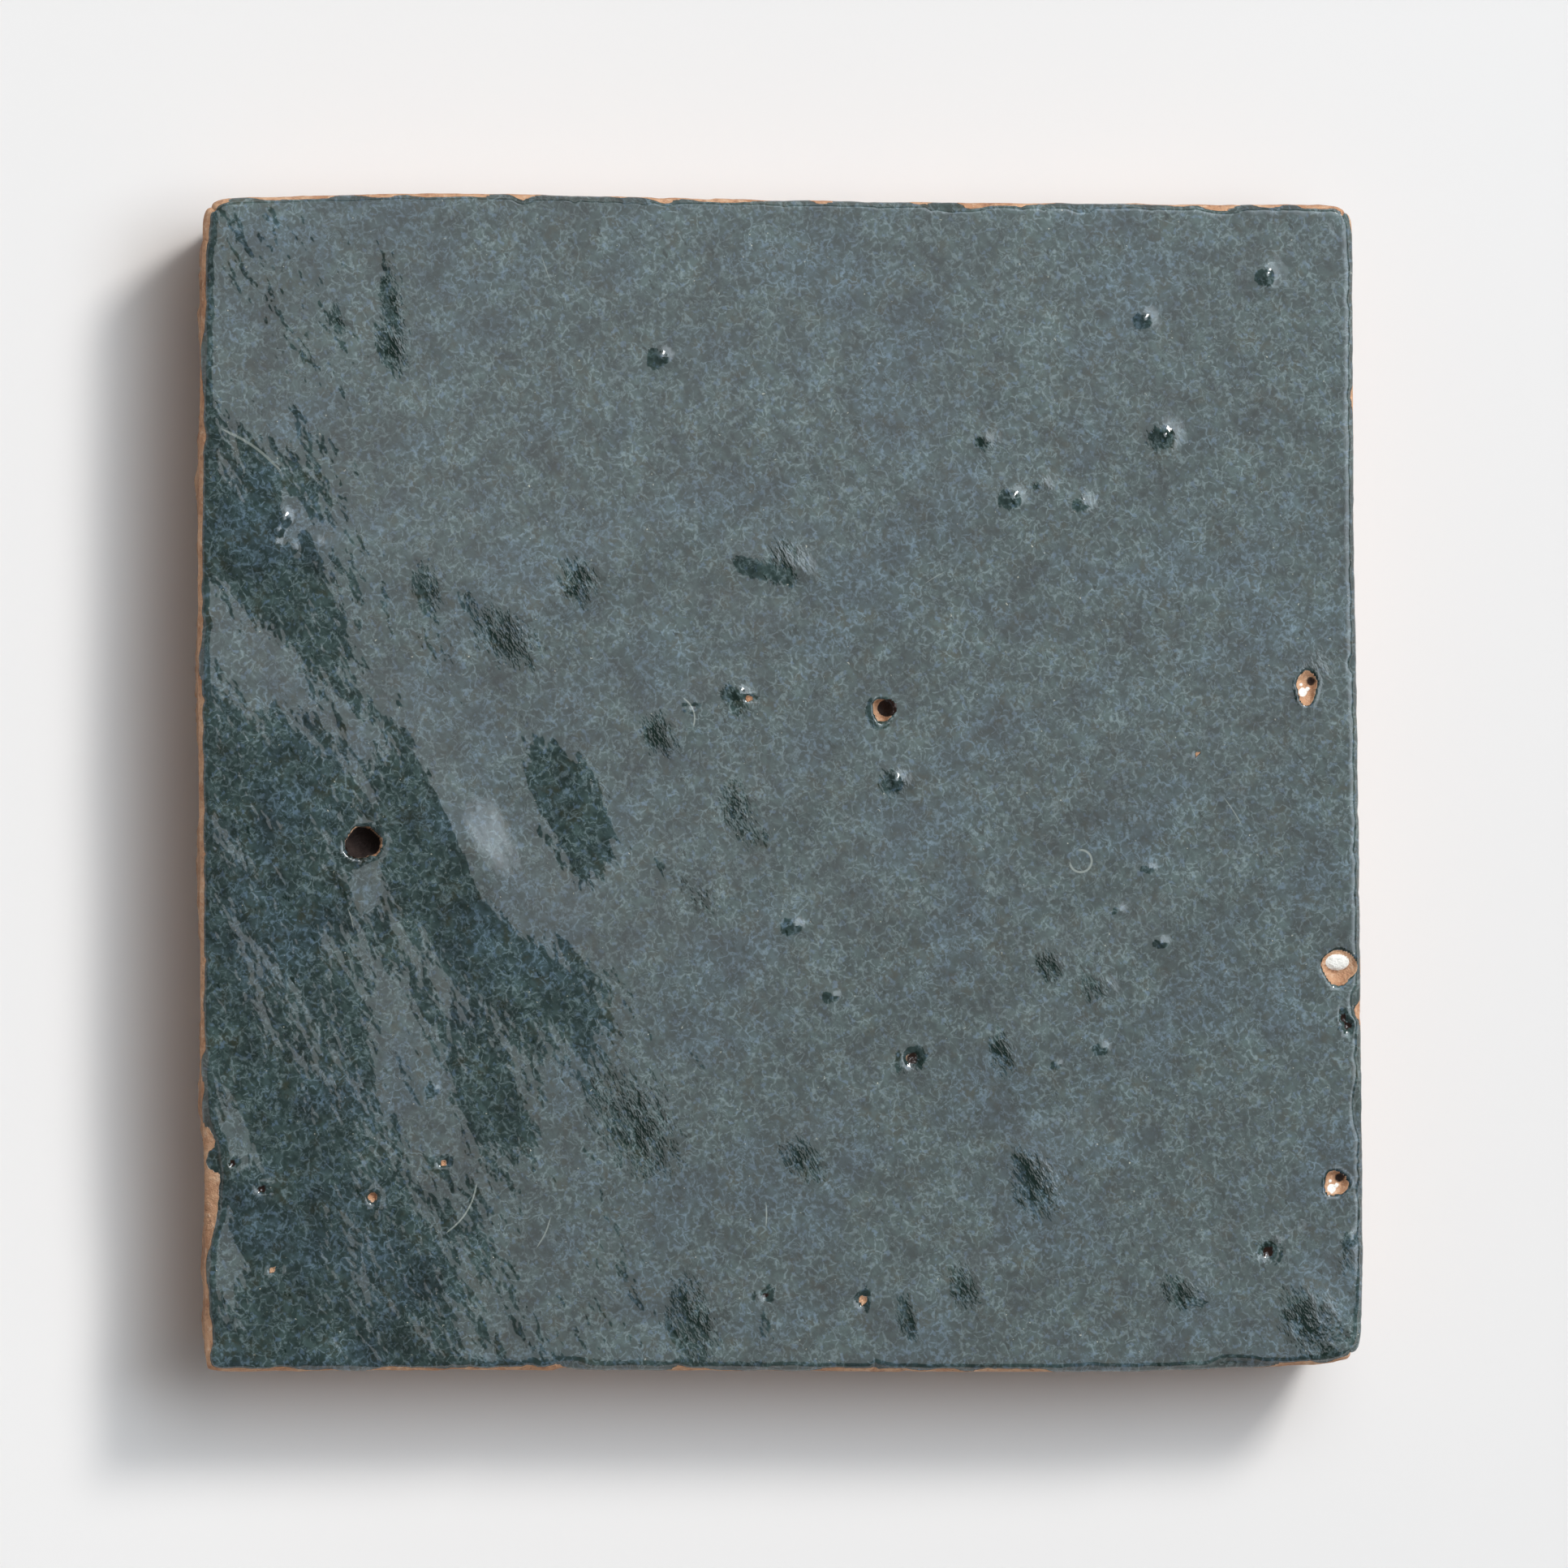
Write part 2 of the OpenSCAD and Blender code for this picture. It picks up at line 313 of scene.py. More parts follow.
def turned(x, y, at, turn):
    """Distances from a place along a direction and across it."""
    angle = math.radians(turn)
    dx, dy = x - at[0], y - at[1]
    return dx * math.cos(angle) + dy * math.sin(angle), dy * math.cos(angle) - dx * math.sin(angle)


def bell(x, y, at, radius, long=1.0, turn=0.0):
    """Oval bell of height 1: long is its length over its width."""
    along, across = turned(x, y, at, turn)
    return np.exp(-((along / (radius * long)) ** 2) - (across / radius) ** 2)


def fleck(x, y, at, width, length, turn):
    """Dent with one steep side, and a side five times as long that runs out flat."""
    along, across = turned(x, y, at, turn)
    across = across - 0.7 * width
    across = across / np.where(across < 0, width, 5 * width)
    return np.exp(-(across**2) - (along / length) ** 2)


# Shape of the face


def wave(x, y, direction, pitch, start):
    angle = math.radians(direction)
    turns = (x * math.cos(angle) + y * math.sin(angle)) / pitch
    return np.sin(2 * math.pi * turns + math.radians(start))


def at_share(share):
    return share[0] * FACE_W / 2, share[1] * FACE_L / 2


def level(x, y):
    """The waved face of the solid."""
    swells = wave(x, y, 20, SWELL_PITCH, 40) + wave(x, y, 110, SWELL_PITCH * 0.8, 70)
    ripples = (
        wave(x, y, 152, RIPPLE_PITCH, 15)
        + wave(x, y, 64, RIPPLE_PITCH * 1.2, 240)
        + wave(x, y, 98, RIPPLE_PITCH * 1.4, 130)
    )
    z = THICKNESS + SWELL_H * swells / 2 + RIPPLE_H * ripples / 3
    for place, long, turn, share in CRESTS:
        z = z + CREST_H * share * bell(x, y, at_share(place), CREST_R, long, turn)
    return z - DIP_DEPTH * bell(x, y, at_share(DIP_AT), DIP_R, DIP_LONG, DIP_TURN)


def streaks(x, y):
    height = STREAK_H + sum(gain * bell(x, y, at, r, long, turn) for at, r, long, turn, gain in PATCHES)
    left = smooth_step(-x, 5, 28)
    drips = DRIP_H[0] + (DRIP_H[1] - DRIP_H[0]) * left
    grain = GRAIN_H[0] + (GRAIN_H[1] - GRAIN_H[0]) * left
    return (
        height * waves(x, y, 11, 70, (1.2, 4.0), 32.0, 26.0)
        + drips * waves(x, y, 12, 60, (2.5, 5.5), 27.0, 40.0)
        + grain * waves(x, y, 13, 80, (0.9, 1.8))
    )


def small_marks(x, y):
    z = np.zeros_like(x)
    for at, radius, long, turn, height in MOUNDS:
        z = z + height * bell(x, y, at, radius, long, turn)
    for at, radius, long, turn, slope in LEANS:
        forward, _ = turned(x, y, at, SOFTBOX_TURN)
        z = z - SLOPE_STEP * slope * forward * bell(x, y, at, radius, long, turn)
    rough = 1 + 0.05 * waves(x, y, 5, 50, (1.2, 2.8), 32.0, 60.0)
    for at, width, length, turn, height in FLECKS:
        z = z + height * fleck(x, y, at, width, length, turn) * rough
    for at, radius, height in PIMPLES:
        z = z + height * np.exp(-((np.hypot(x - at[0], y - at[1]) / (0.9 * radius)) ** 3))
        z = z + 0.25 * height * bell(x, y, at, 2.2 * radius)
    for at, radius, depth, _ in PINHOLES:
        r = np.hypot(x - at[0], y - at[1]) / radius
        z = z - depth * np.exp(-(r**4)) + 0.06 * np.exp(-(((r - 1.5) / 0.5) ** 2))
    return z


# Painted dark reflection: how strongly each point is darkened
def painted_dark_reflections(x, y):
    return sum(share * bell(x, y, at, radius, long, turn) for at, radius, long, turn, share in PAINTED_DARK_REFLECTIONS)


def hollow_depth(r, mouth, depth):
    """Depth of a round hollow with steep walls, at the distance r from its middle."""
    return depth * np.sqrt(np.clip(1 - (r / mouth) ** 2, 0, 1))


def pits(x, y):
    """How far the bubbles and pits take the face down, how bare or white each point is, and how much
    painted shade lies there.
    """
    drop = np.zeros_like(x)
    bare = np.zeros_like(x)
    lime = np.zeros_like(x)
    painted_shade = np.zeros_like(x)
    for k, (at, mouth, depth) in enumerate(BUBBLES):
        dx, dy = x - at[0], y - at[1]
        if k == 1:
            # The small one is half closed by the glaze at its right
            along, across = turned(x, y, at, 110)
            dx, dy = across * 1.25 - 0.1, along * 0.95
        angle = np.arctan2(dy, dx)
        wobble = 1 + 0.07 * np.sin(2 * angle + 1.1 + k) + 0.06 * np.sin(3 * angle + 2 * k + 2.4)
        r = np.hypot(dx, dy) / (wobble + 0.025 * np.sin(7 * angle))
        drop += hollow_depth(r, mouth, depth)
        # The lip of thin glaze curls up at the lower left
        around = np.arctan2(y - at[1], x - at[0])
        curl = np.cos(around - math.radians(225))
        lip = 0.09 + 0.08 * curl
        drop -= lip * np.exp(-(((r - mouth * 1.10) / 0.22) ** 2))
        clay_edge = mouth * (1.05 - 0.13 * np.maximum(curl, 0))
        bare = np.maximum(bare, smooth_step(clay_edge - r, -0.05, 0.08))
        # Painted shade fills the mouth; in the small bubble it lies to the right, the side turned from the
        # lamps
        shift = 0.42 * mouth * k
        inner = np.hypot(x - at[0] - shift, y - at[1] - 0.5 * shift) if k else r
        painted_shade = np.maximum(painted_shade, smooth_step(mouth * (1.0 - 0.2 * k) - inner, -0.03, 0.14))
    at, mouth, depth = POP
    dx, dy = x - at[0], y - at[1]
    angle = np.arctan2(dy, dx)
    r = np.hypot(dx, dy) / (1 + 0.06 * np.sin(3 * angle + 0.5) + 0.05 * np.sin(4 * angle + 2))
    drop += hollow_depth(r, mouth, depth)
    bare = np.maximum(bare, smooth_step(mouth * 1.05 - r, -0.08, 0.12))
    grain = np.hypot((dx + 0.10) / 1.05, (dy - 0.42) / 0.72)
    drop -= 0.55 * np.exp(-(grain**4))
    lime = np.maximum(lime, smooth_step(1.05 - grain, -0.1, 0.25))
    for k, (at, mouth, depth) in enumerate(PITS):
        dx, dy = x - at[0], y - at[1]
        stretch = (0.75, 1.3) if k == 0 else (0.9, 0.95)
        angle = np.arctan2(dy, dx)
        r = np.hypot(dx / stretch[0], dy / stretch[1]) / (1 + 0.08 * np.sin(3 * angle + 2 * k))
        drop += hollow_depth(r, mouth, depth)
        drop -= 0.05 * np.exp(-(((r - mouth * 1.1) / 0.25) ** 2))
        bare = np.maximum(bare, smooth_step(mouth * 1.05 - r, -0.08, 0.12))
        # Crumbs of white, and painted shade at the upper right
        for cx, cy, size in ((-0.30, -0.45, 0.42), (0.15, -0.15, 0.22), (-0.42, 0.20, 0.18)):
            crumb = np.hypot(dx - cx, dy - cy)
            lime = np.maximum(lime, 0.9 * smooth_step(size - crumb, -0.1, 0.15))
            drop -= 0.18 * np.exp(-((crumb / size) ** 4))
        painted_shade = np.maximum(painted_shade, 0.7 * smooth_step(0.5 * mouth - np.hypot(dx - 0.4, dy - 0.5), -0.1, 0.3))
    # Pinholes: bare clay as their tone says, and painted shade inside them
    for at, radius, depth, tone in PINHOLES:
        r = np.hypot(x - at[0], y - at[1]) / radius
        bare = np.maximum(bare, tone * smooth_step(0.95 - r, -0.25, 0.2))
        painted_shade = np.maximum(painted_shade, (1 - 0.8 * tone) * smooth_step(0.8 - r, -0.3, 0.2))
    return drop, bare, lime, painted_shade


def grid_stops(half, spacing, fine_spacing, places):
    """Steps from -1 to 1: coarse ones, finer ones near some places, and the finest in the rolled edge."""
    inner = half - ROLL_W
    at = -inner
    stops = [at]
    while at < inner:
        near = min(max(0.0, abs(at - middle) - reach) for middle, reach in places)
        share = min(1.0, near / 2.0)
        at += fine_spacing + (spacing - fine_spacing) * share
        stops.append(at)
    middle = -inner + (np.array(stops) + inner) * 2 * inner / (stops[-1] + inner)
    edge = half - ROLL_W * np.linspace(0, 1, 6, endpoint=False) ** 1.4
    return np.concatenate([-edge, middle, edge[::-1]]) / half


def drawn_together(x, y):
    """Moves grid points towards the small marks, so that those get more points."""
    marks = [(at, mouth * 2.2, 0.35) for at, mouth, _ in [*BUBBLES, POP, *PITS]]
    marks += [(at, max(1.6, radius * 3.5), 0.55) for at, radius, _ in PIMPLES]
    marks += [(at, max(1.6, radius * 3.5), 0.55) for at, radius, *_ in PINHOLES]
    crowd = sum(np.exp(-(((x - at[0]) ** 2 + (y - at[1]) ** 2) / reach**2)) for at, reach, _ in marks)
    moved_x, moved_y = x, y
    for at, reach, pull in marks:
        dx, dy = x - at[0], y - at[1]
        share = np.exp(-(dx * dx + dy * dy) / reach**2) / np.maximum(crowd, 1)
        moved_x, moved_y = moved_x - dx * pull * share, moved_y - dy * pull * share
    return moved_x, moved_y


def side_table(table):
    """A side's distances in, smoothed so that they have no corners."""
    places = np.linspace(-1, 1, 401)
    values = np.interp(places, *zip(*table))
    reach = np.arange(-12, 13)
    kernel = np.exp(-((reach / 5.0) ** 2))
    padded = np.pad(values, 12, mode="edge")
    return places, np.convolve(padded, kernel / kernel.sum(), mode="valid")


SIDES = [side_table(t) for t in (LEFT_SIDE, RIGHT_SIDE, BOTTOM_SIDE, TOP_SIDE)]

# Chips in the edge of the glaze: place along the side in millimetres, half length, depth
EDGE_CHIPS = {
    "left": [
        (48.0, 1.2, 0.25),
        (30.0, 0.8, 0.15),
        (14.0, 0.7, 0.18),
        (-2.0, 0.6, 0.12),
        (-47.5, 1.5, 0.3),
    ],
    "right": [
        (10.4, 0.6, 0.35),
        (-19.3, 1.3, 0.45),
        (-24.0, 0.5, 0.2),
        (-28.4, 1.9, 0.4),
        (34.0, 0.6, 0.12),
    ],
    "bottom": [
        (-19.0, 1.5, 0.4),
        (39.4, 2.0, 0.5),
        (-44.0, 0.8, 0.15),
        (8.0, 0.6, 0.12),
        (27.0, 0.7, 0.15),
    ],
    "top": [
        (-22.6, 0.7, 0.35),
        (-10.0, 0.8, 0.3),
        (15.5, 2.0, 0.35),
        (26.4, 0.8, 0.3),
        (39.0, 1.6, 0.35),
    ],
}


def chips(side, along):
    """How far the glaze edge is eaten in along one side."""
    eaten = np.zeros_like(along)
    for place, half, depth in EDGE_CHIPS[side]:
        eaten = eaten + depth * np.exp(-(((along - place) / half) ** 4))
    seed = sorted(EDGE_CHIPS).index(side) + 50
    ragged = waves(along, 0 * along, seed, 30, (1.2, 7.0))
    spiky = np.maximum(waves(along, 0 * along, seed + 10, 30, (0.8, 2.5)) - 1.3, 0)
    return eaten + 0.035 * ragged + 0.16 * spiky


def corner_wear(u, v):
    wear = np.where(
        u < 0,
        np.where(v < 0, WEAR[-1, -1], WEAR[-1, 1]),
        np.where(v < 0, WEAR[1, -1], WEAR[1, 1]),
    )
    return wear * np.abs(u * v) ** WEAR_POWER


def plan(u, v, glaze):
    """Plan position of the place (u, v): glaze is 1 at the edge of the glaze, 0 at the cut side."""
    left, right, bottom, top = (np.interp(p, *s) for p, s in zip((v, v, u, u), SIDES))
    x_mm, y_mm = u * FACE_W / 2, v * FACE_L / 2
    long_chip = CHIP_DEPTH * np.exp(-(((v - CHIP_AT) * FACE_L / 2 / CHIP_HALF) ** 4))
    low_x = -FACE_W / 2 + left + glaze * (CLAY_STRIP + long_chip + chips("left", y_mm))
    high_x = FACE_W / 2 - right - glaze * (CLAY_STRIP + chips("right", y_mm))
    low_y = -FACE_L / 2 + bottom + glaze * (CLAY_STRIP + chips("bottom", x_mm))
    high_y = FACE_L / 2 - top - glaze * (CLAY_STRIP + chips("top", x_mm))
    wear = corner_wear(u, v)
    # The raggedness fades out away from each side
    x = (low_x + high_x) / 2 + u * (high_x - low_x) / 2
    y = (low_y + high_y) / 2 + v * (high_y - low_y) / 2
    plain_low_x = -FACE_W / 2 + left + glaze * CLAY_STRIP
    plain_high_x = FACE_W / 2 - right - glaze * CLAY_STRIP
    plain_low_y = -FACE_L / 2 + bottom + glaze * CLAY_STRIP
    plain_high_y = FACE_L / 2 - top - glaze * CLAY_STRIP
    plain_x = (plain_low_x + plain_high_x) / 2 + u * (plain_high_x - plain_low_x) / 2
    plain_y = (plain_low_y + plain_high_y) / 2 + v * (plain_high_y - plain_low_y) / 2
    near_x = smooth_step(np.abs(u), 0.93, 1.0)
    near_y = smooth_step(np.abs(v), 0.93, 1.0)
    x = plain_x + (x - plain_x) * near_x - np.sign(u) * wear
    y = plain_y + (y - plain_y) * near_y - np.sign(v) * wear
    return x, y


def build_tile():
    spots = [*BUBBLES, POP, *PITS]
    across = grid_stops(FACE_W / 2, 0.50, 0.21, [(at[0], mouth * 1.15) for at, mouth, _ in spots])
    up = grid_stops(FACE_L / 2, 0.50, 0.21, [(at[1], mouth * 1.15) for at, mouth, _ in spots])
    u, v = np.meshgrid(across, up, indexing="xy")
    rows, columns = u.shape
    x, y = plan(u, v, 1.0)
    away = smooth_step(np.minimum(1 - np.abs(u), 1 - np.abs(v)), 0.0, 0.03)
    near_x, near_y = drawn_together(x, y)
    x, y = x + (near_x - x) * away, y + (near_y - y) * away
    drop, bare, lime, painted_shade = pits(x, y)
    z = level(x, y) + streaks(x, y) + small_marks(x, y) - drop
    # Rolled edge: level at first, then quickly down
    from_edge = np.minimum((1 - np.abs(u)) * FACE_W, (1 - np.abs(v)) * FACE_L) / 2
    t = np.clip(1 - from_edge / ROLL_W, 0, 1)
    z = z - ROLL_DROP * (1 - np.cbrt(np.clip(1 - t**3, 0, 1)))
    points = [np.stack([x, y, z], -1).reshape(-1, 3)]
    marks = [np.stack([bare, lime, painted_shade, painted_dark_reflections(x, y)], -1).reshape(-1, 4)]
    index = np.arange(rows * columns).reshape(rows, columns)
    quads = [np.stack([index[:-1, :-1], index[:-1, 1:], index[1:, 1:], index[1:, :-1]], -1).reshape(-1, 4)]
    rim = np.concatenate([index[0, :-1], index[:-1, -1], index[-1, :0:-1], index[:0:-1, 0]])
    rim_u, rim_v = u.reshape(-1)[rim], v.reshape(-1)[rim]
    rim_x, rim_y, rim_z = (a.reshape(-1)[rim] for a in (x, y, z))
    m = len(rim)
    # Unit vector out of each side, and the distance run along the rim
    out = np.stack([np.where(np.abs(rim_u) == 1, rim_u, 0), np.where(np.abs(rim_v) == 1, rim_v, 0)], -1)
    out = out / np.linalg.norm(out, axis=-1, keepdims=True)
    cut_x, cut_y = plan(rim_u, rim_v, 0.0)
    steps = np.hypot(np.diff(cut_x, append=cut_x[0]), np.diff(cut_y, append=cut_y[0]))
    run = np.concatenate([[0], np.cumsum(steps)[:-1]])
    hammered = HAMMER_DEPTH * (
        0.5
        + 0.5
        * np.sin(2 * math.pi * cut_x / HAMMER_PITCH + math.radians(40))
        * np.cos(2 * math.pi * cut_y / HAMMER_PITCH)
    )
    band_top = rim_z - STRIP_H
    profile = [("strip", s) for s in (0.2, 0.45, 0.72, 1.0)]
    profile += [("band", s) for s in np.linspace(0, 1, 8)[1:]]
    profile += [("taper", s) for s in np.linspace(0, 1, 9)[1:]]
    profile += [("foot", s) for s in (0.3, 0.65, 1.0)]
    last = rim
    total = rows * columns
    # How far down the glaze has run over each side
    glazed = 0.35 + 0.5 * waves(run, 0 * run, 31, 30, (3.0, 30.0))
    glazed = np.maximum(glazed + 0.6 * (out[:, 0] > 0.5) - 0.5 * (out[:, 0] < -0.5), 0)
    for kind, share in profile:
        if kind == "strip":
            turn = share * math.pi / 2
            rx = rim_x + (cut_x - rim_x) * math.sin(turn)
            ry = rim_y + (cut_y - rim_y) * math.sin(turn)
            rz = rim_z - STRIP_H * share
            rough_share = 0.25 * share
        else:
            if kind == "band":
                inset = hammered * share
                rz = band_top - BAND_H * share
                rough_share = min(1.0, 0.25 + 2 * share)
            elif kind == "taper":
                inset = hammered + UNDERCUT * share
                rz = band_top - BAND_H + (BACK_EDGE - band_top + BAND_H) * share
                rough_share = 1.0
            else:
                inset = hammered + UNDERCUT + BACK_EDGE * (1 - math.sqrt(1 - share**2))
                rz = BACK_EDGE * (1 - share) + 0 * rim_z
                rough_share = 1 - 0.6 * share
            rx = cut_x * (1 - 2 * inset / FACE_W)
            ry = cut_y * (1 - 2 * inset / FACE_L)
        # Hewn facets, chips and grit of the bare clay, always inwards
        facets = np.abs(waves(run, rz * 1.3, 21, 26, (5.0, 16.0)))
        grit = waves(run, rz, 22, 60, (0.9, 3.0))
        gouges = np.maximum(waves(run, rz, 23, 40, (2.0, 6.0)) - 1.2, 0)
        rough = np.maximum(rough_share * (0.16 * facets + 0.045 * grit + 0.35 * gouges + 0.05), 0)
        ring = np.arange(total, total + m)
        points.append(np.stack([rx - out[:, 0] * rough, ry - out[:, 1] * rough, rz], -1))
        side_bare = smooth_step(rim_z - rz - glazed, -0.15, 0.2)
        marks.append(np.stack([side_bare, 0 * run, 0 * run, 0 * run], -1))
        quads.append(np.stack([last, ring, np.roll(ring, -1), np.roll(last, -1)], -1))
        last = ring
        total += m
    # The back: rough clay, a little hollow between its edges
    foot_x, foot_y = points[-1][:, 0], points[-1][:, 1]
    for share in (0.975, 0.93, 0.86, 0.72, 0.48, 0.2):
        bx, by = foot_x * share, foot_y * share
        rough = np.abs(waves(bx, by, 41, 60, (5.0, 25.0)))
        bz = (0.16 * rough + 0.08) * smooth_step(1 - share, 0.0, 0.08)
        ring = np.arange(total, total + m)
        points.append(np.stack([bx, by, bz], -1))
        marks.append(np.tile([1.0, 0.0, 0.0, 0.0], (m, 1)))
        quads.append(np.stack([last, ring, np.roll(ring, -1), np.roll(last, -1)], -1))
        last = ring
        total += m
    vertices = np.concatenate(points) * MM
    faces = np.concatenate(quads).tolist() + [last[::-1].tolist()]
    mesh = bpy.data.meshes.new("Tile")
    mesh.from_pydata(vertices.tolist(), [], faces)
    mesh.polygons.foreach_set("use_smooth", [True] * len(mesh.polygons))
    values = np.concatenate(marks).astype(np.float32)
    for k, name in enumerate(("bare", "lime", "painted_shade", "painted_dark_reflection")):
        layer = mesh.attributes.new(name, "FLOAT", "POINT")
        layer.data.foreach_set("value", np.ascontiguousarray(values[:, k]))
    mesh.update()
    tile = bpy.data.objects.new("Tile", mesh)
    scene.collection.objects.link(tile)
    return tile


tile = build_tile()

# Materials


class Nodes:
    """Short calls for making and linking shader nodes."""

    def __init__(self, name):
        self.material = bpy.data.materials.new(name)
        self.material.use_nodes = True
        self.tree = self.material.node_tree
        self.bsdf = self.tree.nodes["Principled BSDF"]
        self.position = self.tree.nodes.new("ShaderNodeTexCoord").outputs["Object"]

    def set(self, socket, value):
        if hasattr(value, "links"):
            self.tree.links.new(value, socket)
        else:
            socket.default_value = value

    def math(self, kind, a, b=0.0, c=0.0):
        node = self.tree.nodes.new("ShaderNodeMath")
        node.operation = kind
        for socket, value in zip(node.inputs, (a, b, c)):
            self.set(socket, value)
        return node.outputs[0]

    def scaled(self, factors, turn=0.0):
        """Object position along axes turned about Z, times the steps of the pattern per metre."""
        node = self.tree.nodes.new("ShaderNodeMapping")
        node.vector_type = "TEXTURE"
        self.set(node.inputs["Vector"], self.position)
        # The patterns start well beside the tile: at their very start they show straight edges
        node.inputs["Location"].default_value = (0.12, 0.17, 0.05)
        node.inputs["Rotation"].default_value = (0, 0, math.radians(turn))
        node.inputs["Scale"].default_value = [1 / factor for factor in factors]
        return node.outputs[0]

    def length(self, vector):
        node = self.tree.nodes.new("ShaderNodeVectorMath")
        node.operation = "LENGTH"
        self.set(node.inputs[0], vector)
        return node.outputs["Value"]

    def noise(self, vector, detail=2.0, roughness=0.5, flat=False):
        node = self.tree.nodes.new("ShaderNodeTexNoise")
        node.noise_dimensions = "2D" if flat else "3D"
        self.set(node.inputs["Vector"], vector)
        node.inputs["Scale"].default_value = 1.0
        node.inputs["Detail"].default_value = detail
        node.inputs["Roughness"].default_value = roughness
        return node.outputs["Fac"]

    def bent(self, vector, pitch, amount):
        """The vector pushed about by a noise, so that a net drawn on it isn't regular."""
        noise = self.tree.nodes.new("ShaderNodeTexNoise")
        noise.noise_dimensions = "2D"
        self.set(noise.inputs["Vector"], vector)
        noise.inputs["Scale"].default_value = pitch
        noise.inputs["Detail"].default_value = 2.0
        push = self.tree.nodes.new("ShaderNodeVectorMath")
        push.operation = "MULTIPLY_ADD"
        self.set(push.inputs[0], noise.outputs["Color"])
        push.inputs[1].default_value = (2 * amount,) * 3
        self.set(push.inputs[2], vector)
        return push.outputs[0]

    def net(self, vector, pitch, width):
        """1 on the lines between cells of the given number per step, 0 inside them."""
        cells = self.tree.nodes.new("ShaderNodeTexVoronoi")
        cells.feature = "DISTANCE_TO_EDGE"
        cells.voronoi_dimensions = "2D"
        self.set(cells.inputs["Vector"], vector)
        cells.inputs["Scale"].default_value = pitch
        return self.ramp(cells.outputs["Distance"], width, 0.0)

    def arc(self, place, radius, width, toward, reach):
        """1 on a thin arc: its middle, radius and width in millimetres, direction and half angle."""
        offset = self.tree.nodes.new("ShaderNodeVectorMath")
        offset.operation = "MULTIPLY_ADD"
        self.set(offset.inputs[0], self.position)
        offset.inputs[1].default_value = (1000, 1000, 0)
        offset.inputs[2].default_value = (-place[0], -place[1], 0)
        away = self.length(offset.outputs[0])
        line = self.ramp(self.math("ABSOLUTE", self.math("SUBTRACT", away, radius)), width, 0.3 * width)
        along = self.tree.nodes.new("ShaderNodeVectorMath")
        along.operation = "DOT_PRODUCT"
        self.set(along.inputs[0], offset.outputs[0])
        angle = math.radians(toward)
        along.inputs[1].default_value = (math.cos(angle) / radius, math.sin(angle) / radius, 0)
        end = math.cos(math.radians(reach))
        return self.math("MULTIPLY", line, self.ramp(along.outputs["Value"], end, 0.8 * end + 0.2))

    def ramp(self, value, low, high):
        node = self.tree.nodes.new("ShaderNodeMapRange")
        node.interpolation_type = "SMOOTHSTEP"
        self.set(node.inputs["Value"], value)
        node.inputs["From Min"].default_value = low
        node.inputs["From Max"].default_value = high
        return node.outputs["Result"]

    def mix(self, factor, a, b):
        node = self.tree.nodes.new("ShaderNodeMix")
        node.data_type = "RGBA"
        self.set(node.inputs[0], factor)
        for socket, value in ((node.inputs[6], a), (node.inputs[7], b)):
            self.set(socket, value if hasattr(value, "links") else (*value, 1.0))
        return node.outputs[2]

    def scaled_color(self, color, factor):
        node = self.tree.nodes.new("ShaderNodeVectorMath")
        node.operation = "SCALE"
        self.set(node.inputs[0], color)
        self.set(node.inputs["Scale"], factor)
        return node.outputs[0]

    def attribute(self, name):
        node = self.tree.nodes.new("ShaderNodeAttribute")
        node.attribute_name = name
        return node.outputs["Fac"]

    def bump(self, height, distance, strength=1.0, normal=None):
        node = self.tree.nodes.new("ShaderNodeBump")
        node.inputs["Strength"].default_value = strength
        node.inputs["Distance"].default_value = distance
        self.set(node.inputs["Height"], height)
        if normal is not None:
            self.set(node.inputs["Normal"], normal)
        return node.outputs[0]


# Hairs: middle of the arc, radius, width, direction from the middle, half angle, strength
HAIRS = [
    ((25.6, -6.6), 0.95, 0.13, -35, 150, 0.7),
    ((-32.0, -33.5), 5.6, 0.10, -32, 26, 0.8),
    ((-25.5, -36.0), 5.5, 0.09, -25, 14, 0.6),
    ((-9.7, 5.6), 2.0, 0.09, 20, 40, 0.8),
    ((-6.5, -36.8), 5.0, 0.09, 0, 9, 0.8),
    ((30.0, -8.0), 10.5, 0.07, 33, 7, 0.5),
    ((-52.0, 19.5), 11.3, 0.16, 55, 15, 0.6),
    ((-12.0, 47.0), 9.0, 0.08, 200, 6, 0.4),
    ((16.0, 12.5), 6.0, 0.07, 120, 8, 0.4),
    ((-41.0, -12.5), 4.0, 0.08, 15, 12, 0.5),
]


